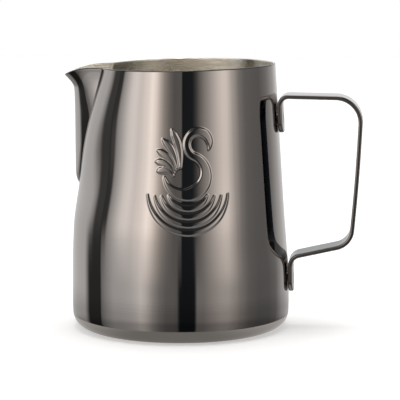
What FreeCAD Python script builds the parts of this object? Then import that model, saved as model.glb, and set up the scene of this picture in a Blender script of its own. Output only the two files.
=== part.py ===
"""Milk frothing pitcher: a one-piece steel jug with a pressed spout and a spot-welded strap handle.

Millimetres, +Z up, origin at the centre of the flat base. +X points to the handle and -X to the
spout. The pitcher is symmetric about the XZ plane.
"""
import FreeCAD, Part
import math
import os

# Jug wall. The mouth is an oval that sits further back than the base.
BELLY_RADIUS = 39.4
JUG_HEIGHT = 95.8
WALL = 0.8
BASE_CORNER_RADIUS = 5.4
MOUTH_BACK = 34.1
MOUTH_FRONT = 30.4
MOUTH_SIDE_FULLNESS = 0.7
RIM_SLOPE = 0.0188

# Bends of the wall in side view: height, share of the lean that starts there, softness.
BACK_BENDS = [(21.2, 1.0, 5.0), (32.5, -0.49, 12.0)]
FRONT_BENDS = [(41.7, 1.0, 10.0), (50.0, -0.79, 12.0)]

# Spout: a channel pressed out of the front wall, with an upright keel and a drooping lip. Its
# half widths are measured inside the wall, at the root depth.
KEEL_STEP = 2.2
LIP_LENGTH = 3.6
TIP_DROOP = 3.0
DROOP_LENGTH = 12.0
SPOUT_FOOT_HEIGHT = 51.5
SPOUT_FOOT_ROUNDING = 7.5
SPOUT_FOOT_HALF_WIDTH = 3.7
SPOUT_RIM_HALF_WIDTH = 18.0
SPOUT_SPREAD_POWER = 0.85
SPOUT_SECTION_POWER = 2.1
SPOUT_ROOT_DEPTH = 1.0
LIP_HALF_WIDTH = 3.8

# Handle: one bent strap with a tab at each end, pressed to the curve of the wall.
STRAP_WIDTH = 12.4
STRAP_THICKNESS = 1.5
STRAP_EDGE_RADIUS = 0.5
GRIP_CLEARANCE = 29.7
GRIP_LEAN = 3.9
TOP_ARM_BELOW_RIM = 11.6
TOP_ARM_DROP = 1.0
LOWER_ARM_HEIGHT = 26.1
LOWER_ARM_RISE = 12.7
UPPER_TAB_BEND_RADIUS = 3.2
UPPER_GRIP_BEND_RADIUS = 9.0
LOWER_GRIP_BEND_RADIUS = 7.0
LOWER_TAB_BEND_RADIUS = 4.0
UPPER_TAB_LENGTH = 9.9
LOWER_TAB_LENGTH = 8.0
TAB_CORNER_RADIUS = 3.5

# Spot welds: one nugget in the middle of each tab, from the electrode dimple into the wall.
NUGGET_DIAMETER = 4.0
DIMPLE_DEPTH = 0.25
NUGGET_DEPTH_IN_WALL = 0.5

# Construction: how finely the sections are laid, and how far cutters run past the solid.
JUG_SECTION_POINTS = 48
SPOUT_SECTION_POINTS = 25
LOFT_DEGREE = 3
OVERRUN = 4.0


def vector(x, y, z):
    return FreeCAD.Vector(x, y, z)


def hinge(distance, softness):
    """A ramp that starts at zero distance, rounded over the softness."""
    return (distance + math.hypot(distance, softness)) / 2


def lean(z, bends):
    """How far a wall has leaned in at height z, in arbitrary units."""
    total = 0.0
    for height, share, softness in bends:
        total += share * (hinge(z - height, softness) - hinge(-height, softness))
    return total


def leaning_radius(z, mouth_radius, bends):
    """Distance from the axis to the outside of the wall at height z, in the XZ plane."""
    return BELLY_RADIUS - (BELLY_RADIUS - mouth_radius) * lean(z, bends) / lean(JUG_HEIGHT, bends)


def back_radius(z):
    return leaning_radius(z, MOUTH_BACK, BACK_BENDS)


def front_radius(z):
    return leaning_radius(z, MOUTH_FRONT, FRONT_BENDS)


def side_radius(z):
    fullness = MOUTH_SIDE_FULLNESS * lean(z, FRONT_BENDS) / lean(JUG_HEIGHT, FRONT_BENDS)
    return (back_radius(z) + front_radius(z)) / 2 + fullness


def jug_section(z, inset):
    """Two half ellipses that meet at the widest point, as one closed curve."""
    side = side_radius(z) - inset
    points = []
    for step in range(JUG_SECTION_POINTS):
        angle = 2 * math.pi * step / JUG_SECTION_POINTS
        reach = back_radius(z) if math.cos(angle) > 0 else front_radius(z)
        points.append(vector((reach - inset) * math.cos(angle), side * math.sin(angle), z))
    curve = Part.BSplineCurve()
    curve.interpolate(points, PeriodicFlag=True)
    return Part.Wire(curve.toShape())


def jug_solid(inset, bottom):
    """The jug without its spout, as a full solid with a rounded foot and an overlong top."""
    straight = BACK_BENDS[0][0] - BACK_BENDS[0][2]
    top = JUG_HEIGHT + OVERRUN
    rows = 3
    heights = [bottom + (straight - bottom) * row / rows for row in range(rows)]
    rows = 11
    heights += [straight + (top - straight) * row / rows for row in range(rows + 1)]
    sections = [jug_section(z, inset) for z in heights]
    loft = Part.makeLoft(sections, True, False, False, LOFT_DEGREE)
    foot = [edge for edge in loft.Edges if edge.BoundBox.ZMax < bottom + WALL]
    return loft.makeFillet(BASE_CORNER_RADIUS - inset, foot)


def keel():
    """Distance from the axis to the outside of the upright keel."""
    return front_radius(SPOUT_FOOT_HEIGHT) + KEEL_STEP


def tip():
    """Distance from the axis to the tip of the lip."""
    return keel() + LIP_LENGTH


def rim_height(x):
    """Height of the straight part of the rim, which falls gently towards the spout."""
    return JUG_HEIGHT - RIM_SLOPE * (MOUTH_BACK - x)


def tip_height():
    return rim_height(-tip()) - TIP_DROOP


def lip_height():
    """Where the keel turns outwards, at 45 degrees, into the lip."""
    return tip_height() - LIP_LENGTH


def keel_reach(z):
    """Distance from the axis to the outside of the keel at height z."""
    wall = front_radius(SPOUT_FOOT_HEIGHT)
    share = (SPOUT_FOOT_HEIGHT + SPOUT_FOOT_ROUNDING - z) / SPOUT_FOOT_ROUNDING
    if share > 1:
        return wall - (share - 1) * SPOUT_FOOT_ROUNDING
    return wall + KEEL_STEP * math.sqrt(1 - max(share, 0.0) ** 2)


def spout_half_width(z):
    rise = max(z - SPOUT_FOOT_HEIGHT, 0.0) / (JUG_HEIGHT - SPOUT_FOOT_HEIGHT)
    spread = SPOUT_RIM_HALF_WIDTH - SPOUT_FOOT_HALF_WIDTH
    return SPOUT_FOOT_HALF_WIDTH + spread * rise ** SPOUT_SPREAD_POWER


def lip_flare(y, z):
    """How far the lip leans out past the keel, which dies away to either side."""
    return max(z - lip_height(), 0.0) * 0.5 ** ((y / LIP_HALF_WIDTH) ** 2)


def spout_section(z, inset):
    """A rounded nose with its lip, closed by a chord that lies inside the wall."""
    half = spout_half_width(z) - inset
    keel = keel_reach(z) - inset
    wall = (front_radius(z) - inset) * math.sqrt(1 - (half / side_radius(z)) ** 2)
    root = wall - SPOUT_ROOT_DEPTH
    points = []
    for step in range(SPOUT_SECTION_POINTS):
        share = 2 * step / (SPOUT_SECTION_POINTS - 1) - 1
        nose = (keel - root) * (1 - abs(share) ** SPOUT_SECTION_POWER)
        points.append(vector(-root - nose - lip_flare(share * half, z), share * half, z))
    curve = Part.BSplineCurve()
    curve.interpolate(points)
    return Part.Wire([curve.toShape(), Part.makeLine(points[-1], points[0])])


def spout_solid(inset):
    """The channel from just inside the wall at its foot to above the rim."""
    foot = SPOUT_FOOT_HEIGHT
    bend = foot + SPOUT_FOOT_ROUNDING
    rows = 6
    heights = [foot - SPOUT_ROOT_DEPTH]
    heights += [foot + SPOUT_FOOT_ROUNDING * (row / rows) ** 2 for row in range(rows)]
    heights += [bend + (lip_height() - bend) * row / rows for row in range(rows + 1)]
    sections = [spout_section(z, inset) for z in heights]
    lower = Part.makeLoft(sections, True, False, False, LOFT_DEGREE)
    lip_rows = (lip_height(), JUG_HEIGHT + OVERRUN)
    lip = Part.makeLoft([spout_section(z, inset) for z in lip_rows], True, True)
    return lower.fuse(lip)


def above_rim():
    """Everything above the rim: a straight slope that curls down to the tip of the spout."""
    far = BELLY_RADIUS + tip()
    top = 2 * JUG_HEIGHT
    start = DROOP_LENGTH - tip()
    radius = (DROOP_LENGTH ** 2 + TIP_DROOP ** 2) / (2 * TIP_DROOP)
    turn = math.asin(DROOP_LENGTH / radius)
    middle = vector(start - radius * math.sin(turn / 2), 0,
                    rim_height(start) - radius * (1 - math.cos(turn / 2)))
    outline = [vector(start, 0, rim_height(start)), vector(far, 0, rim_height(far)),
               vector(far, 0, top), vector(-far, 0, top), vector(-far, 0, tip_height()),
               vector(-tip(), 0, tip_height())]
    edges = [Part.makeLine(first, second) for first, second in zip(outline, outline[1:])]
    edges.append(Part.Arc(outline[-1], middle, outline[0]).toShape())
    face = Part.Face(Part.Wire(edges))
    face.translate(vector(0, -far, 0))
    return face.extrude(vector(0, 2 * far, 0))


def full_jug(inset, bottom):
    return jug_solid(inset, bottom).fuse(spout_solid(inset)).removeSplitter()


def pitcher_body(outside):
    inside = full_jug(WALL, WALL)
    return outside.cut(inside).cut(above_rim())


def top_arm_height():
    return JUG_HEIGHT - TOP_ARM_BELOW_RIM


def upper_tab():
    """Lowest and highest point of the upper tab, where it lies on the wall."""
    top = top_arm_height() - UPPER_TAB_BEND_RADIUS
    return top - UPPER_TAB_LENGTH, top


def lower_tab():
    """Lowest and highest point of the lower tab, where it lies on the wall."""
    top = LOWER_ARM_HEIGHT - LOWER_TAB_BEND_RADIUS
    return top - LOWER_TAB_LENGTH, top


def on_wall(z, height):
    """A point on the strap's centreline at one height, from the lean of the wall at z."""
    return vector(back_radius(z) + STRAP_THICKNESS / 2, 0, height)


def strap_corners():
    """The corners of the strap's centreline, from the end of the upper tab to the lower one's."""
    upper_end, upper_top = upper_tab()
    lower_end, lower_top = lower_tab()
    upper_bend = on_wall(upper_top, top_arm_height())
    lower_bend = on_wall(lower_top, LOWER_ARM_HEIGHT)
    drop = math.tan(math.radians(TOP_ARM_DROP))
    grip_slope = math.tan(math.radians(GRIP_LEAN))
    rise = math.tan(math.radians(LOWER_ARM_RISE))
    grip_top = upper_bend + vector(GRIP_CLEARANCE, 0, -drop * GRIP_CLEARANCE)
    foot_below_top = grip_top.x - grip_slope * (grip_top.z - lower_bend.z)
    arm_run = (foot_below_top - lower_bend.x) / (1 - grip_slope * rise)
    grip_foot = lower_bend + vector(arm_run, 0, rise * arm_run)
    return [on_wall(upper_end, upper_end), upper_bend, grip_top, grip_foot, lower_bend,
            on_wall(lower_end, lower_end)]


def rounded_path(corners, radii):
    """Straight runs joined by tangent arcs, as one wire."""
    edges = []
    start = corners[0]
    for before, corner, after, radius in zip(corners, corners[1:], corners[2:], radii):
        back = (before - corner).normalize()
        ahead = (after - corner).normalize()
        half_angle = back.getAngle(ahead) / 2
        first = corner + back * (radius / math.tan(half_angle))
        second = corner + ahead * (radius / math.tan(half_angle))
        inwards = (back + ahead).normalize()
        middle = corner + inwards * (radius / math.sin(half_angle) - radius)
        edges.append(Part.makeLine(start, first))
        edges.append(Part.Arc(first, middle, second).toShape())
        start = second
    edges.append(Part.makeLine(start, corners[-1]))
    return Part.Wire(edges)


def strap_section(start, direction):
    """The strap's rounded rectangle, square to the start of its path."""
    corner = vector(-STRAP_THICKNESS / 2, -STRAP_WIDTH / 2, 0)
    block = Part.makeBox(STRAP_THICKNESS, STRAP_WIDTH, STRAP_THICKNESS, corner)
    upright = [edge for edge in block.Edges if abs(edge.tangentAt(0).z) > 0.5]
    block = block.makeFillet(STRAP_EDGE_RADIUS, upright)
    outline = [face for face in block.Faces if face.BoundBox.ZMax < STRAP_EDGE_RADIUS / 2][0]
    outline.Placement = FreeCAD.Placement(start, FreeCAD.Rotation(vector(0, 0, 1), direction))
    return outline.OuterWire


def flat_strap():
    """The strap swept along its whole centreline."""
    corners = strap_corners()
    radii = [UPPER_TAB_BEND_RADIUS, UPPER_GRIP_BEND_RADIUS, LOWER_GRIP_BEND_RADIUS,
             LOWER_TAB_BEND_RADIUS]
    section = strap_section(corners[0], (corners[1] - corners[0]).normalize())
    return rounded_path(corners, radii).makePipeShell([section], True, False)


def tab_outline(end, top):
    """A block as wide as the strap that reaches out from the axis, rounded at its lower corners."""
    reach = BELLY_RADIUS + STRAP_WIDTH
    block = Part.makeBox(reach, STRAP_WIDTH, top - end, vector(0, -STRAP_WIDTH / 2, end))
    lower = [edge for edge in block.Edges
             if abs(edge.tangentAt(0).x) > 0.5 and edge.BoundBox.ZMax < (end + top) / 2]
    return block.makeFillet(TAB_CORNER_RADIUS, lower)


def weld_nugget(end, top):
    """A disc square to the wall, and the electrode's dimple outside it."""
    middle = (end + top) / 2
    slope = (back_radius(end) - back_radius(top)) / (top - end)
    outward = vector(1, 0, slope).normalize()
    wall = vector(back_radius(middle), 0, middle)
    floor = STRAP_THICKNESS - DIMPLE_DEPTH
    radius = NUGGET_DIAMETER / 2
    nugget = Part.makeCylinder(radius, NUGGET_DEPTH_IN_WALL + floor,
                               wall - outward * NUGGET_DEPTH_IN_WALL, outward)
    dimple = Part.makeCylinder(radius, OVERRUN, wall + outward * floor, outward)
    return nugget, dimple


def handle_strap(outside):
    """The swept strap with its two tabs pressed to the curve of the wall and pierced by the welds."""
    around = jug_solid(-STRAP_THICKNESS, -STRAP_THICKNESS)
    strap = flat_strap()
    for end, top in (upper_tab(), lower_tab()):
        corner = vector(back_radius(end) - STRAP_WIDTH, -STRAP_WIDTH, end - OVERRUN)
        clearing = Part.makeBox(2 * STRAP_WIDTH, 2 * STRAP_WIDTH, top - end + OVERRUN, corner)
        nugget, dimple = weld_nugget(end, top)
        tab = tab_outline(end, top).common(around).cut(outside).cut(nugget).cut(dimple)
        strap = strap.cut(clearing).fuse(tab)
    return strap.removeSplitter()


def main():
    outside = full_jug(0, 0)
    body = pitcher_body(outside)
    pieces = {"handle_strap": handle_strap(outside)}
    for name, (end, top) in (("upper", upper_tab()), ("lower", lower_tab())):
        nugget, dimple = weld_nugget(end, top)
        body = body.cut(nugget)
        pieces[name + "_weld_nugget"] = nugget
    pieces["pitcher_body"] = body
    os.makedirs("parts", exist_ok=True)
    for name, shape in pieces.items():
        shape.exportStep("parts/" + name + ".step")
        box = shape.optimalBoundingBox()
        print(name, "solids", len(shape.Solids), "valid", shape.isValid(),
              "volume", round(shape.Volume, 1), "size", [round(v, 2) for v in
              (box.XMin, box.XMax, box.YMin, box.YMax, box.ZMin, box.ZMax)])


main()
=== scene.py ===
"""Looks of the milk frothing pitcher, built around its packed construction model.

Lengths below are in millimetres and are scaled to metres as meshes are made. The origin is the
centre of the base, +X points to the handle, -X to the spout and +Z up.
"""

import math

import bpy
import numpy as np
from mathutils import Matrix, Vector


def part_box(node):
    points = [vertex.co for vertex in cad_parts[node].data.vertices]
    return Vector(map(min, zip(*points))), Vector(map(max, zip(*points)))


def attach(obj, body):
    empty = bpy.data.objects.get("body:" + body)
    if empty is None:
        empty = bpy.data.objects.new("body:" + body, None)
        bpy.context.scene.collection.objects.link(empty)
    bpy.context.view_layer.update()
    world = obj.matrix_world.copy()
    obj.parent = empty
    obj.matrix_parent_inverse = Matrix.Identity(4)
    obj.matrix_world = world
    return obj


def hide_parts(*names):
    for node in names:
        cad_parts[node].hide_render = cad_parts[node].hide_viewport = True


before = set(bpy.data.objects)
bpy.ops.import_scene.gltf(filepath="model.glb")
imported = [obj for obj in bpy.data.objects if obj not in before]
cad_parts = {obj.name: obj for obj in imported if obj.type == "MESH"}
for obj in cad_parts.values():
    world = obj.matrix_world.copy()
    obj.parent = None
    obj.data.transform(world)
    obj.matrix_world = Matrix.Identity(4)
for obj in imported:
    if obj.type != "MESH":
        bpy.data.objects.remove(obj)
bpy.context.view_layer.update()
MM = 0.001

body_low, body_high = [[c / MM for c in corner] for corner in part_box("pitcher_body")]
strap_low, strap_high = [[c / MM for c in corner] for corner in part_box("handle_strap")]

# ---------------------------------------------------------------- the jug's form
BELLY = (body_high[1] - body_low[1]) / 2
HEIGHT = body_high[2]
TIP = -body_low[0]
WALL = 0.8
CORNER = 5.4
MOUTH_BACK = 34.1
MOUTH_FRONT = 30.4
MOUTH_FULLNESS = 0.7
RIM_SLOPE = 0.0188
BACK_BENDS = [(21.2, 1.0, 5.0), (32.5, -0.49, 12.0)]
FRONT_BENDS = [(41.7, 1.0, 10.0), (50.0, -0.79, 12.0)]

FOOT_Z = 51.5
FOOT_ROUND = 6.0
KEEL_STEP = 2.2
KEEL_POWERS = (2.4, 0.55)
FOOT_BLEND = 2.0
FOOT_BLEND_BELOW = 0.4
LIP = 3.6
LIP_HALF = 6.0
LIP_FLARE = 1.06
LIP_SOFTNESS = 1.2
LIP_REACH = 8.0
TIP_DROOP = 3.0
DROOP_LENGTH = 12.0
CREASE_FOOT = 3.0
CREASE_RIM = 17.3
CREASE_POWER = 0.85
CREASE_TUCK = 1.7
TUCK_FROM, TUCK_RISE = 78.0, 17.0
SECTION_POWER = 2.0
# How the spout's section squares up with height: gain, height where it starts, rise.
SQUARING = [(0.25, 65.0, 20.0), (0.4, 78.0, 12.0)]
# How far the wall beside the crease is drawn outwards, by height.
DRAWN = [(34.0, 0.0), (45.0, 0.35), (52.0, 0.75), (60.0, 1.15), (68.0, 1.3), (75.0, 1.05),
         (84.0, 0.25), (91.0, -0.5), (100.0, -0.9)]
DRAWN_REACH = 13.0


def hinge(d, s):
    """A ramp that starts at zero distance, rounded over the softness."""
    return (d + np.hypot(d, s)) / 2


def lean(z, bends):
    """How far a profile has turned in by a height, as a sum of rounded bends."""
    return sum(k * (hinge(z - h, s) - hinge(-h, s)) for h, k, s in bends)


def back(z):
    """Distance from the axis to the wall on the handle's side."""
    return BELLY - (BELLY - MOUTH_BACK) * lean(z, BACK_BENDS) / lean(HEIGHT, BACK_BENDS)


def front(z):
    """Distance from the axis to the plain wall on the spout's side."""
    return BELLY - (BELLY - MOUTH_FRONT) * lean(z, FRONT_BENDS) / lean(HEIGHT, FRONT_BENDS)


def side(z):
    """Half the jug's width across the spout and handle."""
    full = MOUTH_FULLNESS * lean(z, FRONT_BENDS) / lean(HEIGHT, FRONT_BENDS)
    return (back(z) + front(z)) / 2 + full


def smooth(t):
    """A step from 0 to 1 with level ends."""
    t = np.clip(t, 0, 1)
    return t * t * (3 - 2 * t)


KEEL = float(front(FOOT_Z)) + KEEL_STEP


def rim_line(x):
    """Height of the straight part of the rim, which slopes down to the front."""
    return HEIGHT - RIM_SLOPE * (MOUTH_BACK - x)


TIP_Z = rim_line(-TIP) - TIP_DROOP
LIP_Z = TIP_Z - LIP


def rim_z(x):
    """Height of the rim's edge: a gentle slope that curls down to the tip of the lip."""
    start = DROOP_LENGTH - TIP
    radius = (DROOP_LENGTH ** 2 + TIP_DROOP ** 2) / (2 * TIP_DROOP)
    run = np.clip(start - x, 0, DROOP_LENGTH)
    drop = radius - np.sqrt(radius ** 2 - run ** 2)
    return np.where(x > start, rim_line(x), rim_line(start) - drop)


def crease_half(z):
    """Half the distance between the spout's two creases."""
    rise = np.clip((z - FOOT_Z) / (HEIGHT - FOOT_Z), 0, None)
    tuck = CREASE_TUCK * smooth((z - TUCK_FROM) / TUCK_RISE)
    return CREASE_FOOT + (CREASE_RIM - CREASE_FOOT) * rise ** CREASE_POWER - tuck


def keel(z):
    """Distance from the axis to the keel, which steps out of the wall at the spout's foot."""
    share = np.clip((FOOT_Z + FOOT_ROUND - z) / FOOT_ROUND, 0, 1)
    first, second = KEEL_POWERS
    return KEEL - KEEL_STEP * (1 - (1 - share ** first) ** second)


def wall_x(z, y):
    """How far the plain wall is in front of the axis, at a distance to the side."""
    return front(z) * np.sqrt(np.clip(1 - (y / side(z)) ** 2, 0, 1))


def drawn(z, gap):
    """How far pressing the spout has drawn the wall outwards, by the distance from its crease."""
    heights, amounts = zip(*DRAWN)
    tangents = np.gradient(amounts, heights)
    i = np.clip(np.searchsorted(heights, z) - 1, 0, len(heights) - 2)
    h, v = np.array(heights), np.array(amounts)
    width = h[i + 1] - h[i]
    t = np.clip((z - h[i]) / width, 0, 1)
    amount = ((1 + 2 * t) * (1 - t) ** 2 * v[i] + t * (1 - t) ** 2 * width * tangents[i]
              + t * t * (3 - 2 * t) * v[i + 1] + t * t * (t - 1) * width * tangents[i + 1])
    return np.where((z < h[0]) | (z > h[-1]), 0.0, amount) * np.exp(-(gap / DRAWN_REACH) ** 2)


def spout_row(z, q):
    """x and y (from the axis) of the spout at one level, for shares of its half width."""
    half = float(crease_half(z))
    wall = float(wall_x(z, half))
    out = 1 + float(drawn(z, 0.0)) / math.hypot(half, wall)
    y = q * half * out
    root = wall * out
    crown = max(float(keel(z)), float(wall_x(z, 0.0)) + float(drawn(z, half)))
    power = SECTION_POWER + sum(gain * float(smooth((z - start) / rise))
                                for gain, start, rise in SQUARING)
    bulge = root + (crown - root) * (1 - q ** power)
    flare = LIP_FLARE * (hinge(z - LIP_Z, LIP_SOFTNESS) - hinge(-LIP_REACH, LIP_SOFTNESS))
    bulge = bulge + max(flare, 0.0) * 0.5 ** ((y / LIP_HALF) ** 2)
    below = wall_x(z, q * half) + drawn(z, half * (1 - q)) * out
    blended = float(smooth((z - FOOT_Z + FOOT_BLEND_BELOW) / FOOT_BLEND))
    return below + (np.maximum(bulge, below) - below) * blended, y


# ---------------------------------------------------------------- columns round the jug
RELIEF_MID = math.radians(-80.5)
RELIEF_RADIUS = 38.2
RELIEF_Z = 58.2
# Angles from the keel, in degrees, of the columns that keep their place at every level.
RELIEF_FROM, RELIEF_TO = 73.0, 126.5
RELIEF_COLUMNS = 150
FAR_FROM = 60.0
NEAR = np.concatenate([
    np.linspace(RELIEF_FROM, RELIEF_TO, RELIEF_COLUMNS),
    np.linspace(RELIEF_TO, 180, 26)[1:],
])
FAR = np.linspace(180, FAR_FROM, 46)[1:]
# Shares of the spout's half width, and distances in mm beyond its crease, of the other columns.
Q = np.concatenate([np.linspace(0, 0.9, 22), np.array([0.93, 0.955, 0.975, 0.99])])
GAP = np.array([0.0, 0.25, 0.55, 1.0])


def column_angles(z, far):
    """Angles from the keel, in degrees, of the columns between the crease and the fixed ones."""
    half = crease_half(z)
    start = np.degrees(np.arctan2(half, wall_x(z, half)))
    per_mm = np.degrees(1 / front(z))
    close = start + GAP * per_mm
    end = FAR_FROM if far else RELIEF_FROM
    count = 14 if far else 24
    spread = np.linspace(close[-1], end, count + 1)[1:]
    return np.concatenate([close, spread if far else spread[:-1]])


def polar(theta, z, inset):
    """A point on the wall at an angle from the keel, on the +y side."""
    phi = np.pi - np.radians(theta)
    c, s = np.cos(phi), np.sin(phi)
    a = np.where(c > 0, back(z), front(z)) - inset
    b = side(z) - inset
    r = a * b / np.sqrt((b * c) ** 2 + (a * s) ** 2)
    return r * c, r * s


def row(z, inset):
    """x and y of one level all round: keel, near side, handle side, far side, back to the keel."""
    spout_xs, spout_ys = spout_row(z, Q)
    scale = (float(front(z)) - inset) / float(front(z))
    xs, ys = [-spout_xs * scale], [-spout_ys * scale]
    for sign, theta in ((-1, np.concatenate([column_angles(z, False), NEAR])),
                        (1, np.concatenate([FAR, column_angles(z, True)[::-1][1:]]))):
        x, y = polar(theta, z, inset)
        gap = np.radians(theta - theta.min()) * float(front(z))
        grow = 1 + drawn(z, gap) / np.hypot(x, y)
        xs.append(x * grow)
        ys.append(sign * y * grow)
    xs.append(-spout_xs[:0:-1] * scale)
    ys.append(spout_ys[:0:-1] * scale)
    return np.concatenate(xs), np.concatenate(ys)


# ---------------------------------------------------------------- the relief on the near side
RELIEF_HEIGHT = 0.38
RELIEF_HALF_SIZE = (18.0, 22.5)
OUTER_EDGE, INNER_EDGE = 0.38, 0.9
HOLLOW_SHARE = 0.85
STROKE_MARGIN = 1.5
NO_STROKE = 9.0


def arc(cx, cy, rx, ry, a0, a1, n):
    """Points along part of an ellipse, in millimetres along and up the wall."""
    t = np.radians(np.linspace(a0, a1, n))
    return np.stack([cx + rx * np.cos(t), cy + ry * np.sin(t)], 1)


def taper(n, stops):
    """Half widths along a stroke, from (share of its length, half width) stops."""
    at, wide = zip(*stops)
    t = np.linspace(0, 1, n)
    return np.interp(t, at, wide)


def relief_strokes():
    """A plain bird with a fanned wing over four nested leaves, as tapered arcs and bowed rays."""
    strokes = []

    def add(line, stops):
        strokes.append((line, taper(len(line), stops)))

    for leaf in range(4):
        lift = 20 - 4 * leaf
        add(arc(0, -3.6, 7.5 + 2.5 * leaf, 6.6 + 2.8 * leaf, 180 + lift, 360 - lift, 130),
            [(0, 0.2), (0.2, 0.75), (0.5, 1.0), (0.8, 0.75), (1, 0.2)])
    body = arc(-1.0, 2.5, 8.0, 8.0, -165, -35, 91)
    lower_neck = arc(0.311, 1.582, 6.4, 6.4, -35, 70, 60)
    upper_neck = arc(4.005, 11.731, 4.4, 4.4, 250, -25, 107)
    add(np.vstack([body, lower_neck[1:], upper_neck[1:]]),
        [(0, 0.25), (0.12, 1.4), (0.28, 2.4), (0.36, 2.2), (0.48, 1.6), (0.59, 1.2), (0.75, 1.1),
         (0.88, 1.5), (0.94, 1.15), (1, 0.2)])
    root = np.array([-2.0, 0.5])
    for feather in range(5):
        turn = math.radians(104 + 16 * feather)
        way, across = (np.array([math.cos(a), math.sin(a)]) for a in (turn, turn + math.pi / 2))
        u = np.linspace(0, 1, 70)[:, None]
        line = root + (3.6 + (13.2 - 1.8 * feather) * u) * way - 1.1 * np.sin(math.pi * u) * across
        add(line, [(0, 0.35), (0.3, 0.8), (0.65, 1.15), (0.85, 0.95), (1, 0.2)])
    return strokes


def relief_distance(s, t):
    """Signed distance to the edge of the raised pads, negative inside them."""
    best = np.full(s.shape, NO_STROKE)
    for line, half in relief_strokes():
        low = (line - half[:, None]).min(0) - STROKE_MARGIN
        high = (line + half[:, None]).max(0) + STROKE_MARGIN
        hit = (s > low[0]) & (s < high[0]) & (t > low[1]) & (t < high[1])
        if not hit.any():
            continue
        d = np.hypot(s[hit][:, None] - line[:, 0], t[hit][:, None] - line[:, 1]) - half
        best[hit] = np.minimum(best[hit], d.min(1))
    return best


def relief(x, y, z, edge):
    """Height of the relief at points of the wall, with its edges rounded over the given width."""
    phi = np.arctan2(y, x)
    s = RELIEF_RADIUS * (phi - RELIEF_MID)
    t = z - RELIEF_Z
    near = (np.abs(s) < RELIEF_HALF_SIZE[0]) & (np.abs(t) < RELIEF_HALF_SIZE[1])
    h = np.zeros_like(x)
    d = relief_distance(s[near], t[near])
    h[near] = RELIEF_HEIGHT * smooth((edge - d) / (2 * edge))
    return h


# ---------------------------------------------------------------- mesh helpers
def normals_of(grid):
    """Unit normals of a grid of points that is closed along its second direction."""
    across = np.roll(grid, -1, 1) - np.roll(grid, 1, 1)
    up = np.gradient(grid, axis=0)
    n = np.cross(across, up)
    return n / np.maximum(np.linalg.norm(n, axis=2, keepdims=True), 1e-12)


def ring_faces(first, second, count):
    """Quads between two rings of points, by the number of each ring's first point."""
    j = np.arange(count)
    k = (j + 1) % count
    return np.stack([first + j, first + k, second + k, second + j], 1)


def make_object(name, points, faces, materials, indices, body, nodes):
    """A mesh piece that rides on a body and stands for the given construction nodes."""
    mesh = bpy.data.meshes.new(name)
    mesh.from_pydata([tuple(p) for p in (np.asarray(points) * MM)], [], [tuple(f) for f in faces])
    for m in materials:
        mesh.materials.append(m)
    mesh.polygons.foreach_set("material_index", np.asarray(indices, dtype=np.int32))
    mesh.polygons.foreach_set("use_smooth", np.ones(len(mesh.polygons), dtype=bool))
    mesh.validate()
    mesh.update()
    obj = bpy.data.objects.new(name, mesh)
    bpy.context.scene.collection.objects.link(obj)
    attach(obj, body)
    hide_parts(*nodes)


# ---------------------------------------------------------------- materials
def new_material(name):
    """A material with only a principled shader, and its tree and shader."""
    m = bpy.data.materials.new(name)
    m.use_nodes = True
    tree = m.node_tree
    tree.nodes.clear()
    out = tree.nodes.new("ShaderNodeOutputMaterial")
    shader = tree.nodes.new("ShaderNodeBsdfPrincipled")
    tree.links.new(shader.outputs["BSDF"], out.inputs["Surface"])
    return m, tree, shader


def node(tree, kind, links=(), **values):
    """A shader node; each link is a socket with the output or the value that it gets."""
    n = tree.nodes.new(kind)
    for key, value in values.items():
        setattr(n, key, value)
    for socket, source in links:
        if hasattr(source, "is_output"):
            tree.links.new(source, n.inputs[socket])
        else:
            n.inputs[socket].default_value = source
    return n


def streak_coordinates(tree, around, along):
    """Coordinates that run round the jug's axis and up it, for turned and brushed marks."""
    place = node(tree, "ShaderNodeTexCoord")
    split = node(tree, "ShaderNodeSeparateXYZ", [(0, place.outputs["Object"])])
    turn = node(tree, "ShaderNodeMath", [(0, split.outputs["Y"]), (1, split.outputs["X"])],
                operation="ARCTAN2")
    wide = node(tree, "ShaderNodeMath", [(0, turn.outputs[0]), (1, around)], operation="MULTIPLY")
    tall = node(tree, "ShaderNodeMath", [(0, split.outputs["Z"]), (1, along)],
                operation="MULTIPLY")
    return node(tree, "ShaderNodeCombineXYZ",
                [("X", wide.outputs[0]), ("Y", tall.outputs[0])])


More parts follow.
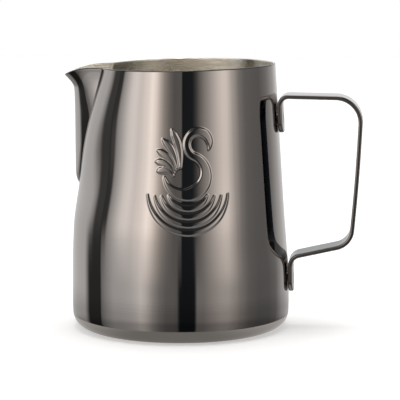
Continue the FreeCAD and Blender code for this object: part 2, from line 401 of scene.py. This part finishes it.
def metal(name, dark, light, rough_low, rough_high, around, along, bump, brushing=0.0):
    """Polished or brushed steel: turned marks, a faint mottle and a little wear in its gloss."""
    m, tree, shader = new_material(name)
    where = node(tree, "ShaderNodeTexCoord")
    lines = streak_coordinates(tree, around, along)
    streak = node(tree, "ShaderNodeTexNoise", [("Vector", lines.outputs[0]), ("Scale", 1.0),
                                               ("Detail", 4.0), ("Roughness", 0.6)])
    mottle = node(tree, "ShaderNodeTexNoise", [("Vector", where.outputs["Object"]),
                                               ("Scale", 28.0), ("Detail", 3.0)])
    mixed = node(tree, "ShaderNodeMath", [(0, streak.outputs["Fac"]), (1, mottle.outputs["Fac"])],
                 operation="ADD")
    half = node(tree, "ShaderNodeMath", [(0, mixed.outputs[0]), (1, 0.5)], operation="MULTIPLY")
    tint = node(tree, "ShaderNodeValToRGB", [("Fac", half.outputs[0])])
    tint.color_ramp.elements[0].position = 0.3
    tint.color_ramp.elements[0].color = (*dark, 1)
    tint.color_ramp.elements[1].position = 0.7
    tint.color_ramp.elements[1].color = (*light, 1)
    gloss = node(tree, "ShaderNodeMapRange", [("Value", half.outputs[0]), ("From Min", 0.3),
                                              ("From Max", 0.7), ("To Min", rough_low),
                                              ("To Max", rough_high)])
    tree.links.new(tint.outputs["Color"], shader.inputs["Base Color"])
    tree.links.new(gloss.outputs[0], shader.inputs["Roughness"])
    shader.inputs["Metallic"].default_value = 1.0
    if brushing:
        shader.inputs["Anisotropic"].default_value = brushing
        shader.inputs["Anisotropic Rotation"].default_value = 0.25
        ring = node(tree, "ShaderNodeTangent", direction_type="RADIAL", axis="Z")
        tree.links.new(ring.outputs["Tangent"], shader.inputs["Tangent"])
    lift = node(tree, "ShaderNodeBump", [("Height", streak.outputs["Fac"]),
                                         ("Strength", bump), ("Distance", 0.0001)])
    tree.links.new(lift.outputs["Normal"], shader.inputs["Normal"])
    return m


polished = metal("dark_polished_steel", (0.42, 0.39, 0.372), (0.44, 0.41, 0.392), 0.03, 0.055,
                 2.0, 3000.0, 0.02)
brushed = metal("brushed_bare_steel", (0.80, 0.76, 0.67), (0.93, 0.89, 0.80), 0.17, 0.23,
                3.0, 7500.0, 1.0, 1.0)
# The rim's edge gets a near-black steel: a painted dark reflection standing in for the dark studio
# ceiling that its rounded top reflects.
rim_painted_reflection = metal("dark_rim_edge", (0.09, 0.085, 0.08), (0.13, 0.12, 0.115), 0.12, 0.2,
                 40.0, 900.0, 0.05)
# The strap's face towards the fingers gets a near-black steel: painted shade, so that it and its
# reflection in the wall look dark.
strap_painted_shade = metal("painted_shade_strap_steel", (0.014, 0.019, 0.024), (0.024, 0.03, 0.036), 0.1, 0.16,
                    9.0, 1500.0, 0.05)
strap_painted_shade.node_tree.nodes["Principled BSDF"].inputs["Specular Tint"].default_value = (
    0.9, 0.9, 0.9, 1)
strap_steel = metal("dark_strap_steel", (0.25, 0.232, 0.22), (0.29, 0.27, 0.255), 0.07, 0.13,
                    9.0, 1500.0, 0.05)
weld = metal("heat_tinted_weld", (0.30, 0.26, 0.22), (0.46, 0.41, 0.36), 0.28, 0.42,
             60.0, 2600.0, 0.3)

# ---------------------------------------------------------------- the jug's mesh
LEAD_TOP = 9.6
LEAD_SLOPE = 0.055
TOP_FROM = 84.0
TOP_SPREAD = 1.3
TABLE_STEPS = 8
RIM_PASSES = 12
RIM_STEP = 0.6
INNER_EVERY = 6
FINE_BELOW, FINE_ABOVE = 21.5, 22.0
FINE_ROWS = 180
FLOOR_LIFT = 0.45
# Shares of the foot's size for the rings of the inside floor and of the base.
FLOOR_RINGS = (0.93, 0.86, 0.8, 0.6, 0.4, 0.2, 0.06)
BASE_RINGS = (0.95, 0.91, 0.87, 0.83, 0.6, 0.4, 0.2, 0.06)
FLOOR_STEP, BASE_STEP = 0.13, 0.12
# The jug's three materials, by their place in its list; the third, on the rim's edge, is a painted
# dark reflection.
OUTSIDE, INSIDE, EDGE_PAINTED_DARK = 0, 1, 2
# The angle round the rim's edge, from the outside, where the inside's material starts; before it
# the edge carries the painted dark reflection.
EDGE_TO = math.radians(100)


def lead_in(z):
    """How far the wall has turned in towards the foot before its corner starts."""
    above = max(LEAD_TOP - z, 0.0)
    bend = min(above, LEAD_TOP - CORNER)
    return LEAD_SLOPE * (bend ** 2 / (2 * (LEAD_TOP - CORNER)) + above - bend)


corner_turn = np.radians(np.linspace(-90, 0, 15))
levels = [(CORNER * (1 + math.sin(a)), CORNER * (1 - math.cos(a))) for a in corner_turn]
levels = [(z, inset + lead_in(z)) for z, inset in levels]
relief_low, relief_high = RELIEF_Z - FINE_BELOW, RELIEF_Z + FINE_ABOVE
plain = np.concatenate([np.linspace(CORNER, LEAD_TOP, 7)[1:],
                        np.linspace(LEAD_TOP, relief_low, 14)[1:-1]])
fine = np.linspace(relief_low, relief_high, FINE_ROWS)
upper = np.linspace(relief_high, TOP_FROM, 6)[1:]
levels += [(z, lead_in(z)) for z in np.concatenate([plain, fine, upper])]

rows = []
for z, inset in levels:
    x, y = row(z, inset)
    rows.append(np.stack([x, y, np.full_like(x, z)], 1))

top_share = 1 - (1 - np.linspace(0, 1, 15)[1:]) ** TOP_SPREAD
limit = np.full(len(rows[0]), HEIGHT - WALL / 2)


def top_rows(limit):
    """Rows that spread from the last level to the rim, which has its own height per column."""
    made = []
    for share in top_share:
        z = TOP_FROM + (limit - TOP_FROM) * share
        points = np.empty((len(z), 3))
        low, high = z.min(), z.max()
        steps = np.linspace(low, high, TABLE_STEPS + 1)
        table = np.array([np.stack(row(step, 0.0), 1) for step in steps])
        at = np.clip((z - low) / max(high - low, 1e-9) * TABLE_STEPS, 0, TABLE_STEPS - 0.001)
        i = at.astype(int)
        u = (at - i)[:, None]
        j = np.arange(len(z))
        points[:, :2] = table[i, j] * (1 - u) + table[i + 1, j] * u
        points[:, 2] = z
        made.append(points)
    return made


# The rim's height depends on where its points are, so both are settled together.
for _ in range(RIM_PASSES):
    made = top_rows(limit)
    grid = np.array(rows[-1:] + made)
    tilt = normals_of(grid)[-1][:, 2]
    wanted = rim_z(made[-1][:, 0]) - WALL / 2 * (1 - tilt)
    limit = (1 - RIM_STEP) * limit + RIM_STEP * wanted
grid = np.array(rows + top_rows(limit))
count = grid.shape[1]
normal = normals_of(grid)
middle_row = len(grid) // 2
if (normal[middle_row, :, :2] * grid[middle_row, :, :2]).sum() < 0:
    normal = -normal

raised = relief(grid[..., 0], grid[..., 1], grid[..., 2], OUTER_EDGE)
outer = grid + normal * raised[..., None]

corner_rows = len(corner_turn)
fine_from = corner_rows + len(plain)
fine_to = fine_from + len(fine)
keep = [*range(0, corner_rows, 2), *range(corner_rows, fine_from),
        *range(fine_from, fine_to, INNER_EVERY), *range(fine_to, len(grid))]
hollow = relief(grid[..., 0], grid[..., 1], grid[..., 2], INNER_EDGE)
inner = (grid + normal * (hollow * HOLLOW_SHARE - WALL)[..., None])[keep]
inner[0, :, 2] = WALL

points = []
faces = []
kinds = []


def add_ring(ring):
    """Adds a ring of points and gives the number of its first point."""
    start = len(points)
    points.extend(ring)
    return start


def join(first, second, kind):
    """Faces between two rings, all of one material."""
    quads = ring_faces(first, second, count)
    faces.extend(quads)
    kinds.extend([kind] * len(quads))


previous = None
for ring in outer:
    start = add_ring(ring)
    if previous is not None:
        join(previous, start, OUTSIDE)
    previous = start
edge = outer[-1]
edge_normal = normal[-1]
along = grid[-1] - grid[-2]
along -= edge_normal * (along * edge_normal).sum(1, keepdims=True)
along /= np.linalg.norm(along, axis=1, keepdims=True)
centre = edge - edge_normal * (WALL / 2)
# The rim's rounded edge, whose outer part carries the painted dark reflection.
for angle in np.radians([20, 42, 66, 90, 114, 138, 160]):
    ring = centre + (WALL / 2) * (math.cos(angle) * edge_normal + math.sin(angle) * along)
    start = add_ring(ring)
    join(previous, start, EDGE_PAINTED_DARK if angle < EDGE_TO else INSIDE)
    previous = start
for ring in inner[::-1]:
    start = add_ring(ring)
    join(previous, start, INSIDE)
    previous = start

for share in FLOOR_RINGS:
    ring = inner[0] * [share, share, 1]
    ring = ring + [0, 0, FLOOR_LIFT * float(smooth((FLOOR_RINGS[0] - share) / FLOOR_STEP))]
    start = add_ring(ring)
    join(previous, start, INSIDE)
    previous = start
points.append((0.0, 0.0, WALL + FLOOR_LIFT))
faces.extend([(previous + j, previous + (j + 1) % count, len(points) - 1) for j in range(count)])
kinds.extend([INSIDE] * count)

previous = 0
for share in BASE_RINGS:
    ring = outer[0] * [share, share, 1]
    ring = ring + [0, 0, FLOOR_LIFT * float(smooth((BASE_RINGS[0] - share) / BASE_STEP))]
    start = add_ring(ring)
    join(start, previous, OUTSIDE)
    previous = start
points.append((0.0, 0.0, FLOOR_LIFT))
faces.extend([(previous + (j + 1) % count, previous + j, len(points) - 1) for j in range(count)])
kinds.extend([OUTSIDE] * count)

make_object("jug_shell", points, faces, [polished, brushed, rim_painted_reflection], kinds, "root",
            ["pitcher_body"])

# ---------------------------------------------------------------- the handle strap
STRAP_WIDTH = strap_high[1] - strap_low[1]
THICK = 1.5
EDGE = 0.5
CLEARANCE = 29.7
ARM_Z = HEIGHT - 11.6
LOWER_Z = 26.1
UPPER_TOP = ARM_Z - 3.2
UPPER_END = UPPER_TOP - 9.9
LOWER_TOP = LOWER_Z - 4.0
LOWER_END = LOWER_TOP - 8.6
TAB_CORNER = 3.5
TAB_PROUD = 0.45
BEND_RADII = [3.2, 9.0, 7.0, 4.0]
ARM_DROP, GRIP_LEAN, ARM_RISE = 1.0, 3.9, 12.7
TAB_STEP, FREE_STEP = 0.36, 1.5
GRIP_BOW = 0.25
FLAT_POINTS = 27
END_ROUND = 0.42
DIMPLE_DEPTH, DIMPLE_RADIUS, DIMPLE_EDGE = 0.3, 2.25, 0.4


def on_wall(z, height):
    """A point at a height, on the centreline of a strap that lies on the wall's back at z."""
    return np.array([float(back(z)) + THICK / 2, height])


def strap_line():
    """The corners of the strap's centreline in side view, from the upper tab to the lower one."""
    drop, lean_in, rise = (math.tan(math.radians(a)) for a in (ARM_DROP, GRIP_LEAN, ARM_RISE))
    first, last = on_wall(UPPER_TOP, ARM_Z), on_wall(LOWER_TOP, LOWER_Z)
    top = first + [CLEARANCE, -drop * CLEARANCE]
    below = top[0] - lean_in * (top[1] - last[1])
    run = (below - last[0]) / (1 - lean_in * rise)
    foot = last + [run, rise * run]
    return [on_wall(UPPER_END, UPPER_END), first, top, foot, last, on_wall(LOWER_END, LOWER_END)]


def strap_stations():
    """Centre points, directions and how far each is pressed to the wall, all along the strap."""
    corners = strap_line()
    spots, ways, press = [], [], []

    def straight(a, b, step, hold, bow=0.0):
        way = (b - a) / np.linalg.norm(b - a)
        n = max(int(np.linalg.norm(b - a) / step), 1)
        side_way = np.array([-way[1], way[0]])
        for t in np.linspace(0, 1, n + 1)[:-1]:
            spots.append(a + (b - a) * t + side_way * bow * math.sin(math.pi * t))
            ways.append(way)
            press.append(hold)

    start = corners[0]
    for i, radius in enumerate(BEND_RADII):
        before, corner, after = corners[i:i + 3]
        u = (before - corner) / np.linalg.norm(before - corner)
        v = (after - corner) / np.linalg.norm(after - corner)
        half_angle = math.acos(float(u @ v)) / 2
        first = corner + u * (radius / math.tan(half_angle))
        second = corner + v * (radius / math.tan(half_angle))
        straight(start, first, TAB_STEP if i == 0 else FREE_STEP, 1.0 if i == 0 else 0.0,
                 GRIP_BOW if i == 2 else 0.0)
        middle = corner + (u + v) / np.linalg.norm(u + v) * radius / math.sin(half_angle)
        turn0 = math.atan2(*(first - middle)[::-1])
        turn1 = math.atan2(*(second - middle)[::-1])
        turn = (turn1 - turn0 + math.pi) % (2 * math.pi) - math.pi
        steps = max(int(abs(math.degrees(turn)) / 4), 4)
        for t in np.linspace(0, 1, steps + 1)[:-1]:
            a = turn0 + turn * t
            spots.append(middle + radius * np.array([math.cos(a), math.sin(a)]))
            ways.append(np.array([-math.sin(a), math.cos(a)]) * np.sign(turn))
            tab_ends = {0: 1 - float(smooth(t * 1.2)), 3: float(smooth(t * 1.2 - 0.2))}
            press.append(tab_ends.get(i, 0.0))
        start = second
    straight(start, corners[-1], TAB_STEP, 1.0)
    spots.append(corners[-1])
    ways.append(ways[-1])
    press.append(1.0)
    return np.array(spots), np.array(ways), np.array(press)


def strap_loop(half, thick):
    """The strap's section as (across, out) pairs, starting on the outer face."""
    r = min(EDGE, 0.49 * thick)
    flat = np.linspace(-1, 1, FLAT_POINTS)
    top = np.stack([flat * (half - r), np.full(FLAT_POINTS, thick / 2)], 1)
    bottom = np.stack([-flat * (half - r), np.full(FLAT_POINTS, -thick / 2)], 1)
    right = [(half - r + r * math.sin(a), thick / 2 - r + r * math.cos(a))
             for a in np.radians([22, 45, 68, 90])]
    right2 = [(half - r + r * math.sin(a), -thick / 2 + r + r * math.cos(a))
              for a in np.radians([90, 112, 135, 158])]
    left = [(-x, y) for x, y in right2[::-1]]
    left2 = [(-x, y) for x, y in right[::-1]]
    return np.vstack([top, right, right2, bottom, left, left2])


spots, ways, press = strap_stations()
length = np.concatenate([[0], np.cumsum(np.linalg.norm(np.diff(spots, axis=0), axis=1))])
total = length[-1]
extra = np.array([0.0, 0.05, 0.13, 0.25, END_ROUND])
middle = length[(length > 0.5) & (length < total - 0.5)]
order = np.unique(np.concatenate([extra, total - extra, middle]))
spots = np.stack([np.interp(order, length, spots[:, k]) for k in (0, 1)], 1)
ways = np.stack([np.interp(order, length, ways[:, k]) for k in (0, 1)], 1)
ways /= np.linalg.norm(ways, axis=1, keepdims=True)
press = np.interp(order, length, press)
WELDS = [(UPPER_TOP + UPPER_END) / 2, (LOWER_TOP + LOWER_END) / 2]

points, faces = [], []
for spot, way, hold, at in zip(spots, ways, press, order):
    end = min(at, total - at)
    half = STRAP_WIDTH / 2
    if end < TAB_CORNER:
        half += math.sqrt(TAB_CORNER ** 2 - (TAB_CORNER - end) ** 2) - TAB_CORNER
    thick = THICK
    if end < END_ROUND:
        thick -= 2 * (END_ROUND - math.sqrt(END_ROUND ** 2 - (END_ROUND - end) ** 2))
    out = np.array([way[1], -way[0]])
    loop = strap_loop(half, thick)
    across, lift = loop[:, 0], loop[:, 1]
    x = spot[0] + out[0] * lift
    z = spot[1] + out[1] * lift
    sag = float(back(spot[1])) * (np.sqrt(1 - (across / float(side(spot[1]))) ** 2) - 1)
    x = x + (sag + TAB_PROUD) * hold
    facing = out[0] * lift > 0
    for weld_z in WELDS:
        d = np.hypot(across, z - weld_z)
        dimple = DIMPLE_DEPTH * smooth((DIMPLE_RADIUS - d) / DIMPLE_EDGE)
        x = x - np.where(facing & (hold > 0.9), dimple, 0)
    start = len(points)
    points.extend(np.stack([x, across, z], 1))
    n = len(loop)
    if start:
        j = np.arange(n)
        k = (j + 1) % n
        faces.extend(np.stack([start - n + j, start + j, start + k, start - n + k], 1).tolist())
faces.append(list(range(n)))
faces.append(list(range(len(points) - n, len(points)))[::-1])
# The second material, a painted shade, is on the face towards the fingers, away from the tabs.
free = press < 0.5
kinds = [1 if i % n < FLAT_POINTS - 1 and free[i // n] else 0 for i in range(len(faces) - 2)]
kinds += [0, 0]
make_object("strap_handle", points, faces, [strap_steel, strap_painted_shade], kinds, "root",
            ["handle_strap"])

for name in ("upper_weld_nugget", "lower_weld_nugget"):
    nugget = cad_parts[name]
    nugget.data.materials.clear()
    nugget.data.materials.append(weld)

# ---------------------------------------------------------------- studio
scene = bpy.context.scene
scene.view_settings.view_transform = "Standard"

world = bpy.data.worlds.new("studio")
scene.world = world
world.use_nodes = True
sky = world.node_tree
sky.nodes.clear()


def ramp(tree, factor, stops):
    """A colour ramp from (position, colour) stops."""
    r = node(tree, "ShaderNodeValToRGB", [("Fac", factor)])
    elements = r.color_ramp.elements
    while len(elements) > 1:
        elements.remove(elements[-1])
    for i, (position, colour) in enumerate(stops):
        e = elements[0] if i == 0 else elements.new(position)
        e.position = position
        e.color = (*colour, 1)
    return r


def warm(level, warmth):
    """A grey of the given level, warmed or, where the warmth is negative, cooled."""
    return (level, level * (1 - 0.55 * warmth), level * (1 - warmth))


def panorama(stops):
    """Azimuth stops in degrees from +X, all round, as ramp positions."""
    return sorted((((a + 180) % 360) / 360, warm(level, w)) for a, level, w in stops)


# How far up or down the studio's parts meet, as the upward share of a direction.
HORIZON = (-0.16, 0.07)
CEILING = (0.58, 0.68)
SKYLIGHT = (0.95, 0.975)
FAR_TABLE = (-0.172, -0.191)
MIDDLE_TABLE = (-0.205, -0.26)
NEAR_TABLE = (-0.43, -0.51)
FAR_SHADE, MIDDLE_SHADE = 0.27, 0.34
FLOOR_GLOW = 0.39
# What the studio holds all round, above and below the horizon: azimuth, level and warmth.
BLACK = -0.35
HIGH = [(-178, 0.06, 0), (-172.5, 0.07, 0), (-169.8, 0.5, 0.02), (-162, 0.86, 0.05),
        (-153, 1.35, 0.06), (-147, 1.47, 0.07), (-139, 1.3, 0.08), (-128, 1.62, 0.12),
        (-122, 1.97, 0.13), (-116.5, 1.63, 0.15), (-110.5, 0.97, 0.17), (-105, 0.54, 0.14),
        (-99, 0.32, 0.1), (-92, 0.18, 0.05), (-84.2, 0.2, 0.05), (-83.0, 0.018, BLACK),
        (-71.6, 0.022, BLACK), (-67, 0.1, 0.05), (-62, 0.29, 0.08), (-53, 0.62, 0.1),
        (-43, 1.1, 0.13), (-36, 1.38, 0.13), (-31, 1.36, 0.12), (-22, 0.8, 0.12),
        (-14, 0.4, 0.07), (-5, 0.24, 0.0), (20, 0.2, 0), (56, 0.5, 0), (75, 0.95, 0),
        (158, 0.76, 0), (164, 0.5, 0), (169.5, 0.09, 0)]
LOW = [(-178.5, 0.035, 0), (-177, 0.28, 0), (-170, 0.46, 0), (-160, 0.67, 0.01),
       (-147, 0.73, 0.01), (-138, 0.82, 0.03), (-127, 1.08, 0.06), (-121.7, 0.93, 0.08),
       (-114, 0.53, 0.08), (-107, 0.31, 0.04), (-100, 0.21, 0.02), (-92, 0.2, 0.02),
       (-87.8, 0.17, 0.0), (-86.8, 0.014, BLACK), (-69.3, 0.014, BLACK), (-68.3, 0.3, 0.06),
       (-61, 0.32, 0.07), (-50, 0.5, 0.1), (-41, 0.64, 0.1), (-34, 0.66, 0.1), (-27, 0.54, 0.1),
       (-18, 0.36, 0.08), (-8, 0.22, 0.02), (6, 0.17, 0), (22, 0.18, 0), (36, 0.24, 0),
       (50, 0.55, 0), (66, 0.72, 0), (153, 0.74, 0), (158, 0.36, 0), (162, 0.042, 0)]

look = node(sky, "ShaderNodeTexCoord")
toward = node(sky, "ShaderNodeSeparateXYZ", [(0, look.outputs["Generated"])])
bearing = node(sky, "ShaderNodeMath", [(0, toward.outputs["Y"]), (1, toward.outputs["X"])],
               operation="ARCTAN2")
circle = node(sky, "ShaderNodeMath", [(0, bearing.outputs[0]), (1, 1 / (2 * math.pi)), (2, 0.5)],
              operation="MULTIPLY_ADD")
high = ramp(sky, circle.outputs[0], panorama(HIGH))
low = ramp(sky, circle.outputs[0], panorama(LOW))


def blend(tree, factor, first, second):
    """The output of a colour mix."""
    m = tree.nodes.new("ShaderNodeMix")
    m.data_type = "RGBA"
    for socket, source in ((0, factor), (6, first), (7, second)):
        if hasattr(source, "is_output"):
            tree.links.new(source, m.inputs[socket])
        else:
            m.inputs[socket].default_value = source if socket == 0 else (*source, 1)
    return m.outputs[2]


def between(tree, source, low, high, most=1.0):
    """A smooth step of a value between two limits, from 0 to the most."""
    r = node(tree, "ShaderNodeMapRange",
             [("Value", source), ("From Min", low), ("From Max", high), ("To Max", most)],
             interpolation_type="SMOOTHSTEP")
    return r.outputs[0]


up = toward.outputs["Z"]
level = blend(sky, between(sky, up, *HORIZON), low.outputs[0], high.outputs[0])
ceiling = ramp(sky, circle.outputs[0], [(0.0, (0.9,) * 3), (0.06, (0.3,) * 3),
                                        (0.12, (0.05,) * 3), (0.44, (0.05,) * 3),
                                        (0.52, (0.4,) * 3), (0.6, (0.9,) * 3),
                                        (1.0, (0.9,) * 3)])
level = blend(sky, between(sky, up, *CEILING), level, ceiling.outputs[0])
level = blend(sky, between(sky, up, *SKYLIGHT), level, (3.2, 3.15, 3.05))
table = ramp(sky, circle.outputs[0], [(0.0, (0.05,) * 3), (0.04, (0.3,) * 3), (0.76, (0.3,) * 3),
                                      (0.79, (0.05,) * 3)])
# Below the horizon the table darkens in two steps, before its part nearest the jug.
DARK = (0.0, 0.0, 0.0)
level = blend(sky, between(sky, up, *FAR_TABLE, FAR_SHADE), level, DARK)
level = blend(sky, between(sky, up, *MIDDLE_TABLE, MIDDLE_SHADE), level, DARK)
level = blend(sky, between(sky, up, *NEAR_TABLE), level, table.outputs[0])
path = node(sky, "ShaderNodeLightPath")
shown = blend(sky, path.outputs["Is Camera Ray"], level, (1.0, 1.0, 1.0))
background = node(sky, "ShaderNodeBackground", [("Color", shown), ("Strength", 1.0)])
node(sky, "ShaderNodeOutputWorld", [("Surface", background.outputs[0])])

# A pale floor that keeps the shadow.
floor_mesh = bpy.data.meshes.new("studio_floor")
REACH = 1.4
floor_mesh.from_pydata([(-REACH, -REACH, 0), (REACH, -REACH, 0), (REACH, REACH, 0),
                        (-REACH, REACH, 0)], [], [(0, 1, 2, 3)])
floor = bpy.data.objects.new("studio_floor", floor_mesh)
scene.collection.objects.link(floor)
floor.visible_glossy = False
pale = bpy.data.materials.new("pale_floor")
pale.use_nodes = True
tree = pale.node_tree
tree.nodes.clear()
diffuse = node(tree, "ShaderNodeBsdfDiffuse", [("Color", (0.8, 0.8, 0.8, 1))])
glow = node(tree, "ShaderNodeEmission", [("Color", (1, 1, 1, 1))])
seen = node(tree, "ShaderNodeLightPath")
lit = node(tree, "ShaderNodeMath", [(0, seen.outputs["Is Camera Ray"]), (1, FLOOR_GLOW)],
           operation="MULTIPLY")
tree.links.new(lit.outputs[0], glow.inputs["Strength"])
both = node(tree, "ShaderNodeAddShader", [(0, diffuse.outputs[0]), (1, glow.outputs[0])])
node(tree, "ShaderNodeOutputMaterial", [("Surface", both.outputs[0])])
floor.data.materials.append(pale)

# The patch of table that the foot stands on, seen only in the jug's reflections.
CARD_RADIUS, CARD_SIDES = 0.047, 96
turns = np.radians(np.arange(CARD_SIDES) * 360 / CARD_SIDES)
card_mesh = bpy.data.meshes.new("table_card")
card_mesh.from_pydata([(CARD_RADIUS * math.cos(a), CARD_RADIUS * math.sin(a), 0.0)
                       for a in turns], [], [tuple(range(CARD_SIDES))])
card = bpy.data.objects.new("table_card", card_mesh)
scene.collection.objects.link(card)
for ray in ("camera", "diffuse", "shadow", "transmission", "volume_scatter"):
    setattr(card, "visible_" + ray, False)
grey = bpy.data.materials.new("table_grey")
grey.use_nodes = True
tree = grey.node_tree
tree.nodes.clear()
spot = node(tree, "ShaderNodeTexCoord")
split = node(tree, "ShaderNodeSeparateXYZ", [(0, spot.outputs["Object"])])
aside = node(tree, "ShaderNodeMath", [(0, split.outputs["X"])], operation="ABSOLUTE")
glow_share = between(tree, aside.outputs[0], 0.012, 0.05)
tone = blend(tree, glow_share, (0.3, 0.294, 0.28), (0.66, 0.65, 0.63))
shine = node(tree, "ShaderNodeEmission", [("Color", tone), ("Strength", 1.0)])
node(tree, "ShaderNodeOutputMaterial", [("Surface", shine.outputs[0])])
card.data.materials.append(grey)

lamp = bpy.data.lights.new("overhead", "AREA")
lamp.shape = "DISK"
lamp.size = 1.1
lamp.energy = 5.0
overhead = bpy.data.objects.new("overhead", lamp)
overhead.location = (0.15, 0.1, 1.3)
overhead.rotation_euler = (math.radians(-4), math.radians(6), 0)
overhead.visible_glossy = False
scene.collection.objects.link(overhead)

camera_data = bpy.data.cameras.new("camera")
camera_data.sensor_width = 36.0
camera_data.lens = 184.634
camera_data.clip_start = 0.05
camera_data.clip_end = 50.0
camera = bpy.data.objects.new("camera", camera_data)
camera.location = (0.0707, -0.7343, 0.14825)
camera.rotation_euler = (math.radians(90 - 7.9046), 0.0, math.radians(4.9565))
scene.collection.objects.link(camera)
scene.camera = camera
